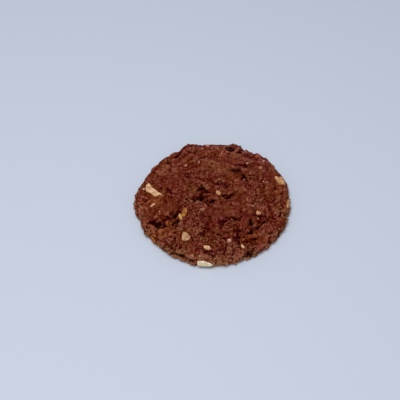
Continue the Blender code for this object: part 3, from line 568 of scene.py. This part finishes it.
def blurred(field, reach):
    """The field of a square grid, averaged over this many cells each way, three times."""
    window = 2 * reach + 1
    for _ in range(3 * 2):
        # Each pass averages down the columns and then turns rows to columns, for the pass that follows.
        padded = np.pad(field, ((reach, reach), (0, 0)), "edge")
        total = np.insert(np.cumsum(padded, 0), 0, 0, 0)
        field = ((total[window:] - total[:-window]) / window).T
    return field


def ring_grid():
    """The ring and the angle of each point of a square grid that is bent into rings."""
    steps = np.arange(-RINGS, RINGS + 1)
    x, y = np.meshgrid(steps, steps)
    with np.errstate(divide="ignore", invalid="ignore"):
        sideways = np.pi / 4 * y / x + np.pi * (x < 0)
        upright = np.pi / 2 - np.pi / 4 * x / y + np.pi * (y < 0)
    angle = np.nan_to_num(np.where(abs(x) >= abs(y), sideways, upright))
    return np.maximum(abs(x), abs(y)).ravel(), angle.ravel()


def grid_quads(count):
    """The faces of a square grid with this many points a side."""
    points = np.arange(count * count).reshape(count, count)
    quads = np.stack([points[:-1, :-1], points[:-1, 1:], points[1:, 1:], points[1:, :-1]], -1)
    return quads.reshape(-1, 4)


def close_foot(mesh):
    """Closes the open foot with one flat face."""
    shape = bmesh.new()
    shape.from_mesh(mesh)
    foot = [edge for edge in shape.edges if edge.is_boundary]
    bmesh.ops.contextual_create(shape, geom=foot)
    bmesh.ops.recalc_face_normals(shape, faces=shape.faces[:])
    shape.to_mesh(mesh)
    shape.free()


def add_attribute(mesh, name, values):
    attribute = mesh.attributes.new(name, "FLOAT", "POINT")
    attribute.data.foreach_set("value", np.asarray(values, np.float32))


def add_piece(mesh, material):
    """A piece of the cookie, named as its mesh and linked to the scene, that moves with the cookie."""
    mesh.materials.append(material)
    mesh.shade_smooth()
    piece = bpy.data.objects.new(mesh.name, mesh)
    bpy.context.scene.collection.objects.link(piece)
    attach(piece, "root")
    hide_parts("cookie")


def make_dough(material):
    """The dough: a slab pushed out into crags, with what its colour depends on kept on its points.
    Returns the craggy places, their outward directions and where the nuts lie, for what is strewn on them."""
    places, outward = smooth_slab(*ring_grid())
    bed = nut_beds(places)
    holes = hole_depth(places)
    rough = patchy(places, outward, *ROUGH_PATCHES)
    relief = main_relief(places, outward) + fine_relief(places, outward, rough) - holes
    fade = np.minimum(1, places[:, 2] / RELIEF_STARTS)
    relief = (relief * (1 - bed) + BED_LEVEL * bed) * fade
    crags = places + outward * relief[:, None]

    count = 2 * RINGS + 1
    mesh = bpy.data.meshes.new("cookie_dough")
    mesh.from_pydata((crags * MM).tolist(), [], grid_quads(count).tolist())
    field = relief.reshape(count, count)
    shifted = ragged(places)
    marks = {
        # Painted shade in the hollows and painted light on the crests, fine and broad.
        "fine_hollow_shade_and_crest_light": (blurred(field, FINE_REACH) - field).ravel(),
        "broad_hollow_shade_and_crest_light": (blurred(field, BROAD_REACH) - blurred(field, CREST_REACH)).ravel(),
        # Painted shade of the pits and small holes, the deeper the darker.
        "pit": (pit_depth(shifted) + HOLE_DARKNESS * holes) * fade,
        # Baked tone, with painted shade round pits and the rim and painted light on lumps and the front rim.
        "baked": stained(shifted, "pale") - stained(shifted, "dark"),
        "rough": rough,
        "rust": stained(shifted, "rust"),
        # Plum stains, a painted reflection along the back.
        "plum_and_painted_reflection": stained(shifted, "plum_and_painted_reflection"),
        "side": (1 - outward[:, 2]) * (SIDE_MEAN + SIDE_DIFFERS * noise_at(places, SIDE_PATCH_SIZE)),
    }
    for name, values in marks.items():
        add_attribute(mesh, name, values)
    close_foot(mesh)
    add_piece(mesh, material)
    return crags, outward, bed


def linear(code):
    """Linear colour of an sRGB hex code."""
    values = [int(code[i : i + 2], 16) / 255 for i in (1, 3, 5)]
    return (*[v / 12.92 if v <= 0.04045 else ((v + 0.055) / 1.055) ** 2.4 for v in values], 1.0)


def add(tree, kind, inputs=None, stops=(), **settings):
    """Adds a shader node. Inputs are values, or the sockets that feed them; stops are a ramp's colours."""
    node = tree.nodes.new("ShaderNode" + kind)
    for name, value in settings.items():
        setattr(node, name, value)
    for key, value in (inputs or {}).items():
        if isinstance(value, bpy.types.NodeSocket):
            tree.links.new(value, node.inputs[key])
        else:
            node.inputs[key].default_value = value
    for number, (place, code) in enumerate(stops):
        ramp = node.color_ramp.elements
        stop = ramp[number] if number < 2 else ramp.new(place)
        stop.position = place
        stop.color = linear(code)
    return node


def new_material(name):
    material = bpy.data.materials.new(name)
    material.use_nodes = True
    return material, material.node_tree, material.node_tree.nodes["Principled BSDF"]


# The colour sockets of a Mix node.
MIX_A, MIX_B, MIX_RESULT = 6, 7, 2

# Browns of the dough, each from its darkest tear, dark with painted shade, to its palest crest, pale with
# painted light: the one that is everywhere, and others with where they show. Deep pits get a painted black
# shade.
BROWN_PLACES = (0.0, 0.2, 0.5, 0.8, 1.0)
COCOA_BROWN = ("#320000", "#580C00", "#6D2918", "#823C26", "#9A5A44")
OTHER_BROWNS = (
    ("patches", ("#320000", "#590A02", "#6D251C", "#82372C", "#9C564C")),
    ("patches", ("#300000", "#561000", "#6A2F17", "#7C4324", "#92603F")),
    ("side", ("#2A0800", "#56200B", "#764024", "#925C3C", "#AC7C58")),
    ("rust", ("#380600", "#641E06", "#80340F", "#9C4C1E", "#B46834")),
    # Plum brown: its own colour at the front and a painted reflection along the back.
    ("plum_and_painted_reflection", ("#22000A", "#440A12", "#5C1A20", "#783236", "#925254")),
)
PIT_SHADE_BLACK = "#200202"

# Sizes in the dough, in millimetres: patches, crumbs and how far they shift the edges of its grains; those
# grains, specks of cocoa and char, and patches of another brown; and the fine grain of its surface, with
# its rise.
PATCH, CRUMB, CRUMB_SHIFT = 6.0, 1.0, 0.9
GRAIN, SPECK, BROWN_PATCH = 1.1, 0.65, 9.0
SURFACE_GRAIN, SURFACE_RISE = 0.45, 0.3

# How far below what lies round it, in millimetres, the dough is darkest and palest, in fine hollows and in
# broad ones, as painted shade in the hollows and painted light on the crests, and the sum of all that pales
# it at which it is.
FINE_DARK, FINE_PALE = 0.25, -0.22
BROAD_DARK, BROAD_PALE = 0.6, -0.5
TONE_DARK, TONE_PALE = 0.77, 1.58

# Of all specks, this share is char, and up to the second share is char in part.
CHAR_SHARE, CHAR_EDGE = 0.1, 0.16

# How far apart the clouds of the other browns are taken, in millimetres, how much the grains fray them, and
# how dense a cloud is where its brown begins and where it has taken over.
BROWN_APART, BROWN_FRAY = 100, 0.12
BROWN_BEGINS, BROWN_FULL = 0.48, 0.68

# How much of a stain's brown a grain takes, the least and the most.
STAIN_LEAST, STAIN_MOST = 0.4, 1.1

# Depth of a pit, in millimetres, where its painted shade begins and where that painted shade is black.
PIT_DARKENS, PIT_BLACKENS = 0.4, 2.2


def dough_tone(tree, place, marks, grains, crumbs, specks):
    """From 0 to 1, how far the dough is from its darkest tear to its palest crest, with painted shade in its
    hollows and painted light on its crests.
    """
    cloud = {"Vector": place, "Scale": 1 / (PATCH * MM), "Detail": 3.0, "Roughness": 0.6}
    patches = add(tree, "TexNoise", cloud)
    span = {"Value": marks["fine_hollow_shade_and_crest_light"], "From Min": FINE_DARK, "From Max": FINE_PALE}
    fine = add(tree, "MapRange", span).outputs["Result"]
    span = {"Value": marks["broad_hollow_shade_and_crest_light"], "From Min": BROAD_DARK, "From Max": BROAD_PALE}
    broad = add(tree, "MapRange", span).outputs["Result"]
    span = {"Value": specks["Red"], "To Min": -0.5, "To Max": 0.5}
    cocoa = add(tree, "MapRange", span).outputs["Result"]
    span = {"Value": specks["Green"], "From Min": CHAR_EDGE, "From Max": CHAR_SHARE}
    char = add(tree, "MapRange", span).outputs["Result"]
    shares = (
        (0.7, patches.outputs["Fac"]),
        (0.65, crumbs.outputs["Fac"]),
        (0.26, grains["Red"]),
        (0.5, fine),
        (0.3, broad),
        # Stains, with painted shade and painted light among them.
        (0.4, marks["baked"]),
        (0.36, marks["side"]),
        (0.5, add(tree, "Math", {0: cocoa, 1: marks["rough"]}, operation="MULTIPLY").outputs[0]),
        (-0.4, add(tree, "Math", {0: char, 1: marks["rough"]}, operation="MULTIPLY").outputs[0]),
    )
    tone = 0.0
    for share, source in shares:
        tone = add(tree, "Math", {0: source, 1: share, 2: tone}, operation="MULTIPLY_ADD").outputs[0]
    span = {"Value": tone, "From Min": TONE_DARK, "From Max": TONE_PALE}
    return add(tree, "MapRange", span).outputs["Result"]


def brown_patches(tree, place, grains, number):
    """Where another brown takes over: clouds frayed by the grains, in another place for each number."""
    shift = {"Vector": place, "Location": (BROWN_APART * MM * number, 0.0, 0.0)}
    away = add(tree, "Mapping", shift).outputs["Vector"]
    cloud = {"Vector": away, "Scale": 1 / (BROWN_PATCH * MM), "Detail": 6.0, "Roughness": 0.75}
    frayed = {0: grains["Green"], 1: BROWN_FRAY, 2: add(tree, "TexNoise", cloud).outputs["Fac"]}
    density = add(tree, "Math", frayed, operation="MULTIPLY_ADD").outputs[0]
    span = {"Value": density, "From Min": BROWN_BEGINS, "From Max": BROWN_FULL}
    return add(tree, "MapRange", span).outputs["Result"]


def baked_cocoa_dough():
    """Cocoa dough, baked: matt and dark, rosy brown on the crests as painted light, deep red brown in the
    tears and black in the pits as painted shade, in patches of red, chestnut and olive brown, with a
    painted plum reflection along the back, and paler down the side."""
    material, tree, shader = new_material("baked_cocoa_dough")
    place = add(tree, "TexCoord").outputs["Object"]
    names = ("rough", "fine_hollow_shade_and_crest_light", "broad_hollow_shade_and_crest_light", "baked", "side", "rust", "plum_and_painted_reflection", "pit")
    marks = {name: add(tree, "Attribute", attribute_name=name).outputs["Fac"] for name in names}

    cloud = {"Vector": place, "Scale": 1 / (CRUMB * MM), "Detail": 4.0, "Roughness": 0.8}
    crumbs = add(tree, "TexNoise", cloud)
    shift = {0: crumbs.outputs["Color"], 1: (CRUMB_SHIFT * MM,) * 3, 2: place}
    shaken = add(tree, "VectorMath", shift, operation="MULTIPLY_ADD").outputs["Vector"]
    cells = add(tree, "TexVoronoi", {"Vector": shaken, "Scale": 1 / (GRAIN * MM)}).outputs["Color"]
    grains = add(tree, "SeparateColor", {"Color": cells}).outputs
    cells = add(tree, "TexVoronoi", {"Vector": shaken, "Scale": 1 / (SPECK * MM)}).outputs["Color"]
    specks = add(tree, "SeparateColor", {"Color": cells}).outputs
    tone = dough_tone(tree, place, marks, grains, crumbs, specks)

    span = {"Value": grains["Blue"], "To Min": STAIN_LEAST, "To Max": STAIN_MOST}
    uneven = add(tree, "MapRange", span).outputs["Result"]
    colour = add(tree, "ValToRGB", {"Fac": tone}, stops=zip(BROWN_PLACES, COCOA_BROWN)).outputs["Color"]
    for number, (where, codes) in enumerate(OTHER_BROWNS, 1):
        if where == "patches":
            share = brown_patches(tree, place, grains, number)
        else:
            share = add(tree, "Math", {0: marks[where], 1: uneven}, operation="MULTIPLY").outputs[0]
        brown = add(tree, "ValToRGB", {"Fac": tone}, stops=zip(BROWN_PLACES, codes)).outputs["Color"]
        mixed = add(tree, "Mix", {0: share, MIX_A: colour, MIX_B: brown}, data_type="RGBA")
        colour = mixed.outputs[MIX_RESULT]
    # Painted black shade in the pits and small holes.
    span = {"Value": marks["pit"], "From Min": PIT_DARKENS, "From Max": PIT_BLACKENS}
    pit_shade = add(tree, "MapRange", span).outputs["Result"]
    mixed = add(tree, "Mix", {0: pit_shade, MIX_A: colour, MIX_B: linear(PIT_SHADE_BLACK)}, data_type="RGBA")
    tree.links.new(mixed.outputs[MIX_RESULT], shader.inputs["Base Color"])

    cloud = {"Vector": place, "Scale": 1 / (SURFACE_GRAIN * MM), "Detail": 3.0, "Roughness": 0.7}
    grain = add(tree, "TexNoise", cloud).outputs["Fac"]
    bump = add(tree, "Bump", {"Height": grain, "Strength": 0.8, "Distance": SURFACE_RISE * MM})
    tree.links.new(bump.outputs["Normal"], shader.inputs["Normal"])
    shader.inputs["Roughness"].default_value = 0.75
    shader.inputs["Specular IOR Level"].default_value = 0.02
    return material


# Colours of each kind of nut: its palest, its middle and its darkest.
NUT_LOOKS = {
    "cream": ("#EFC598", "#E2B284", "#C08A5C"),
    "ivory": ("#FFF2DA", "#F2E2C2", "#DCC69A"),
    "peach": ("#E2A87E", "#D19268", "#A26040"),
    "rose": ("#E4B4A2", "#D69C8A", "#A86854"),
    "straw": ("#D8A264", "#C68A4E", "#98622C"),
    "tan": ("#E3B07C", "#D09866", "#A0683C"),
    "biscuit": ("#DBAE84", "#CA9A70", "#9C6C48"),
    "toasted": ("#BC825E", "#AA6A48", "#7C4428"),
    "amber": ("#C88238", "#B56C28", "#8A4A16"),
}

# A nut's grain and how far it stands up, in millimetres.
FLESH_GRAIN, FLESH_RISE = 2.2, 0.2


def roasted_nut(kind):
    """Roasted nut, cut: a satin face, browner along its grain, with painted shade down its sides that
    leaves it pale on top.
    """
    light, middle, dark = NUT_LOOKS[kind]
    material, tree, shader = new_material("roasted_nut_" + kind)
    place = add(tree, "TexCoord").outputs["Object"]
    cloud = {"Vector": place, "Scale": 1 / (FLESH_GRAIN * MM), "Detail": 4.0, "Roughness": 0.55}
    grain = add(tree, "TexNoise", cloud).outputs["Fac"]
    face = add(tree, "ValToRGB", {"Fac": grain}, stops=((0.34, dark), (0.5, middle), (0.62, light)))
    # Painted shade down the flanks.
    painted_flank_shade = add(tree, "Attribute", attribute_name="painted_flank_shade").outputs["Fac"]
    shades = {0: painted_flank_shade, MIX_A: face.outputs["Color"], MIX_B: linear(dark)}
    mixed = add(tree, "Mix", shades, data_type="RGBA")
    tree.links.new(mixed.outputs[MIX_RESULT], shader.inputs["Base Color"])
    bump = add(tree, "Bump", {"Height": grain, "Strength": 0.3, "Distance": FLESH_RISE * MM})
    tree.links.new(bump.outputs["Normal"], shader.inputs["Normal"])
    shader.inputs["Roughness"].default_value = 0.5
    shader.inputs["Specular IOR Level"].default_value = 0.3
    return material


def lay(shape, x, y, height, rise, thickness, turn, lean):
    """Turns a nut, leans it outward and sinks it into the smooth slab, so that it stands up this far."""
    angle = math.atan2(y, x)
    tilt = Matrix.Rotation(math.radians(lean), 4, Vector((-math.sin(angle), math.cos(angle), 0)))
    place = Vector((x, y, slab_height(x, y) + BED_LEVEL if height is None else height))
    sunk = Matrix.Translation(place - tilt @ Vector((0, 0, 1)) * (thickness / 2 - rise))
    shape.transform(sunk @ tilt @ Matrix.Rotation(math.radians(turn), 4, "Z"))


def worn_block(corners, thickness):
    """An outline cut straight down, with an even mesh and its edges worn round."""
    shape = bmesh.new()
    top = shape.faces.new([shape.verts.new((u, v, thickness / 2)) for u, v in reversed(corners)])
    under = bmesh.ops.extrude_face_region(shape, geom=[top])["geom"]
    under = [part for part in under if isinstance(part, bmesh.types.BMVert)]
    bmesh.ops.translate(shape, verts=under, vec=(0, 0, -thickness))
    bmesh.ops.recalc_face_normals(shape, faces=shape.faces[:])
    mesh = bpy.data.meshes.new("cut")
    shape.to_mesh(mesh)
    shape.free()
    block = bpy.data.objects.new("cut", mesh)
    bpy.context.scene.collection.objects.link(block)
    even = block.modifiers.new("even", "REMESH")
    even.mode = "VOXEL"
    even.voxel_size = NUT_VOXEL
    worn = block.modifiers.new("worn", "SMOOTH")
    worn.factor = 0.5
    worn.iterations = 4
    fine = bpy.data.meshes.new_from_object(block.evaluated_get(bpy.context.evaluated_depsgraph_get()))
    bpy.data.objects.remove(block)
    shape = bmesh.new()
    shape.from_mesh(fine)
    return shape


def sliced_nut(row):
    """One nut with corners of its own and uneven faces."""
    _, x, y, height, rise, thickness, turn, lean, corners = row
    shape = worn_block(corners, thickness)
    for vertex in shape.verts:
        uneven = sum(wave_rise * noise.noise(vertex.co / size) for wave_rise, size in NUT_WAVES)
        vertex.co += vertex.normal * (NUT_SWELL + uneven)
    lay(shape, x, y, height, rise, thickness, turn, lean)
    return shape


def small_nut(number, row):
    """One small nut: a ball with flat faces where the knife went, drawn out to its size and half sunk."""
    _, x, y, height, rise, length, width, thickness, turn, lean = row
    chance = random.Random(number)
    shape = bmesh.new()
    bmesh.ops.create_icosphere(shape, subdivisions=4, radius=1)
    for _ in range(NUT_CUTS):
        cut = Vector([chance.uniform(-1, 1) for _ in range(3)]).normalized()
        reach = chance.uniform(*NUT_CUT_REACH)
        for vertex in shape.verts:
            vertex.co -= cut * max(0.0, vertex.co.dot(cut) - reach)
    for axis, size in enumerate((length, width, thickness)):
        span = [vertex.co[axis] for vertex in shape.verts]
        middle = (min(span) + max(span)) / 2
        for vertex in shape.verts:
            vertex.co[axis] = (vertex.co[axis] - middle) / (max(span) - min(span)) * size
    bmesh.ops.smooth_vert(
        shape, verts=shape.verts[:], factor=0.5, use_axis_x=True, use_axis_y=True, use_axis_z=True
    )
    lay(shape, x, y, height, rise, thickness, turn, lean)
    for vertex in shape.verts:
        vertex.co += vertex.normal * SMALL_NUT_RISE * noise.noise(vertex.co / SMALL_NUT_WAVE)
    return shape


def rough_ball(chance, size, detail):
    """A crumb or a speck: a ball knocked out of round."""
    shape = bmesh.new()
    bmesh.ops.create_icosphere(shape, subdivisions=detail, radius=size / 2)
    offset = Vector([chance.uniform(*BALL_STARTS) for _ in range(3)])
    stretch = [chance.uniform(*BALL_STRETCH) for _ in range(3)]
    for vertex in shape.verts:
        vertex.co *= 1 + BALL_KNOCK * noise.noise(vertex.co / size * BALL_WAVES + offset)
        vertex.co = Vector([value * share for value, share in zip(vertex.co, stretch)])
    return shape


def joined(name, shapes):
    """One mesh, in metres, of shapes in millimetres."""
    whole = bmesh.new()
    for shape in shapes:
        one = bpy.data.meshes.new("one")
        shape.to_mesh(one)
        shape.free()
        whole.from_mesh(one)
        bpy.data.meshes.remove(one)
    bmesh.ops.scale(whole, vec=(MM, MM, MM), verts=whole.verts[:])
    mesh = bpy.data.meshes.new(name)
    whole.to_mesh(mesh)
    whole.free()
    return mesh


def speck_places(chance, crags):
    """Place and size of each speck of ground nut, by its kind."""
    specks = {kind: [] for kind in NUT_LOOKS}
    for _ in range(STREWN_SPECKS):
        kind = chance.choice(STREWN_KINDS)
        spot = chance.randrange(len(crags))
        specks[kind].append((Vector(crags[spot]), chance.uniform(*STREWN_SPAN)))
    for kind, x, y, size in SPECKS:
        spot = int(np.argmin(np.hypot(crags[:, 0] - x, crags[:, 1] - y) - crags[:, 2] / SPECK_CLIMB))
        specks[kind].append((Vector(crags[spot]), size))
    return specks


def make_nuts(crags):
    """One piece for each kind of nut, with its larger and smaller nuts and its specks."""
    chance = random.Random(11)
    specks = speck_places(chance, crags)
    for kind in NUT_LOOKS:
        shapes = [sliced_nut(row) for row in SLICED_NUTS if row[0] == kind]
        shapes += [small_nut(number, row) for number, row in enumerate(SMALL_NUTS) if row[0] == kind]
        for place, size in specks[kind]:
            if place.z > RELIEF_STARTS:
                speck = rough_ball(chance, size, 2)
                speck.transform(Matrix.Translation(place))
                shapes.append(speck)
        mesh = joined("nuts_" + kind, shapes)
        # Painted shade on the faces that look less upward.
        upward = np.array([normal.vector.z for normal in mesh.vertex_normals])
        add_attribute(mesh, "painted_flank_shade", np.clip(FLANK_SHADE_RATE * (FLANK_STARTS - upward), 0, FLANK_MOST))
        add_piece(mesh, roasted_nut(kind))


def make_crumbs(crags, outward, bed, material):
    """Loose crumbs of dough, baked half sunk into the top and the side."""
    chance = random.Random(23)
    least, greatest = CRUMB_SPAN
    shapes = []
    while len(shapes) < CRUMBS:
        spot = chance.randrange(len(crags))
        place, level = Vector(crags[spot]), outward[spot][2]
        if place.z < RELIEF_STARTS or bed[spot] > CRUMB_CLEARANCE or level < chance.random() * CRUMB_LEVEL:
            continue
        size = least + (greatest - least) * chance.random() ** 2
        crumb = rough_ball(chance, size, 2 if size > CRUMB_FINE else 1)
        back = min(1, max(0, place.y / BACK_REACH)) * (1 - level)
        stand = size * (chance.uniform(*CRUMB_STAND) - BACK_SINK * back)
        crumb.transform(Matrix.Translation(place + Vector(outward[spot]) * stand))
        shapes.append(crumb)
    add_piece(joined("dough_crumbs", shapes), material)


def make_floor():
    """A plain pale floor, faintly blue as under a cool lamp."""
    bpy.ops.mesh.primitive_plane_add(size=FLOOR_WIDTH)
    floor = bpy.context.object
    floor.name = "floor"
    material, _, shader = new_material("pale_floor")
    shader.inputs["Base Color"].default_value = linear("#D6DEEC")
    shader.inputs["Roughness"].default_value = 0.6
    floor.data.materials.append(material)


def make_lighting():
    """Plain soft light: a wide lamp overhead and a little to the left, and pale walls all round."""
    light = bpy.data.lights.new("soft_overhead", "AREA")
    light.shape = "DISK"
    light.size = LAMP_WIDTH
    light.energy = LAMP_POWER
    light.color = linear("#FFFFFF")[:3]
    lamp = bpy.data.objects.new("soft_overhead", light)
    lamp.location = LAMP_PLACE
    lamp.rotation_euler = (-Vector(LAMP_PLACE)).to_track_quat("-Z", "Y").to_euler()
    bpy.context.scene.collection.objects.link(lamp)
    world = bpy.data.worlds.new("pale_room")
    bpy.context.scene.world = world
    world.use_nodes = True
    room = world.node_tree.nodes["Background"]
    room.inputs["Color"].default_value = linear("#E4E9F4")
    room.inputs["Strength"].default_value = ROOM_BRIGHTNESS
    bpy.context.scene.view_settings.view_transform = "Standard"


def make_camera():
    """A camera at the photograph's viewing angle."""
    camera = bpy.data.cameras.new("camera")
    camera.lens = LENS
    camera.sensor_width = SENSOR
    camera.clip_start = 0.01
    holder = bpy.data.objects.new("camera", camera)
    down = math.radians(CAMERA_DOWN)
    holder.location = CAMERA_AIM + Vector((0, -math.cos(down), math.sin(down))) * CAMERA_AWAY
    holder.rotation_euler = (math.pi / 2 - down, 0, 0)
    bpy.context.scene.collection.objects.link(holder)
    bpy.context.scene.camera = holder


make_lighting()
make_camera()
make_floor()
dough = baked_cocoa_dough()
crags, outward, bed = make_dough(dough)
make_crumbs(crags, outward, bed, dough)
make_nuts(crags)
